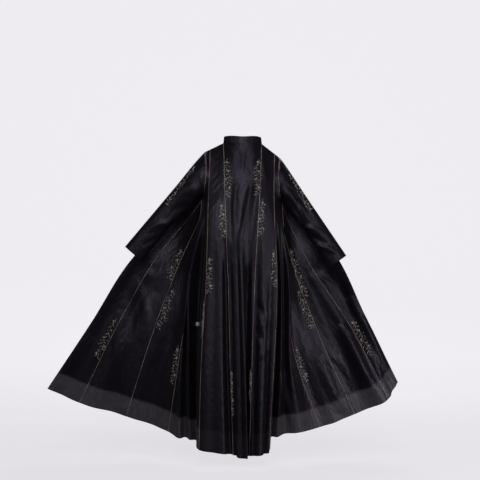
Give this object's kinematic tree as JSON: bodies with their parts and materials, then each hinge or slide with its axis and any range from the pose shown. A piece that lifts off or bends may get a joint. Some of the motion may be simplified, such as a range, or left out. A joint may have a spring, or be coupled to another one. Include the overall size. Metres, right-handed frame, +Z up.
{
  "type": "open-front abaya cloak",
  "caption": "Floor-length open-front satin abaya cloak with long sleeves, flared panels and braided seams, held open as worn.",
  "frame": {"origin": "middle of the back neck seam, where the cloak hangs from the nape and shoulders", "axes": "+Z up, +X to the wearer's right, +Y forwards, so the back faces -Y"},
  "size_m": [1.7434, 0.4455, 1.5147],
  "materials": {
    "black_satin": "soft satin sheen",
    "gold_braid": "metallic thread"
  },
  "bodies": {
    "root": {"front_edge_left": "black_satin", "front_side_left": "black_satin", "underarm_front_left": "black_satin", "underarm_back_left": "black_satin", "back_side_left": "black_satin", "back_centre": "black_satin", "back_side_right": "black_satin", "underarm_back_right": "black_satin", "underarm_front_right": "black_satin", "front_side_right": "black_satin", "front_edge_right": "black_satin", "sleeve_left": "black_satin", "sleeve_right": "black_satin", "collar": "black_satin", "trim_front_inner_left": "gold_braid", "trim_front_inner_right": "gold_braid", "trim_front_outer_left": "gold_braid", "trim_front_outer_right": "gold_braid", "trim_side_left": "gold_braid", "trim_side_right": "gold_braid", "trim_back_outer_left": "gold_braid", "trim_back_outer_right": "gold_braid", "trim_back_inner_left": "gold_braid", "trim_back_inner_right": "gold_braid", "trim_shoulder_left": "gold_braid", "trim_shoulder_right": "gold_braid", "trim_sleeve_left": "gold_braid", "trim_sleeve_right": "gold_braid", "trim_armhole_left": "gold_braid", "trim_armhole_right": "gold_braid"}
  },
  "joints": []
}
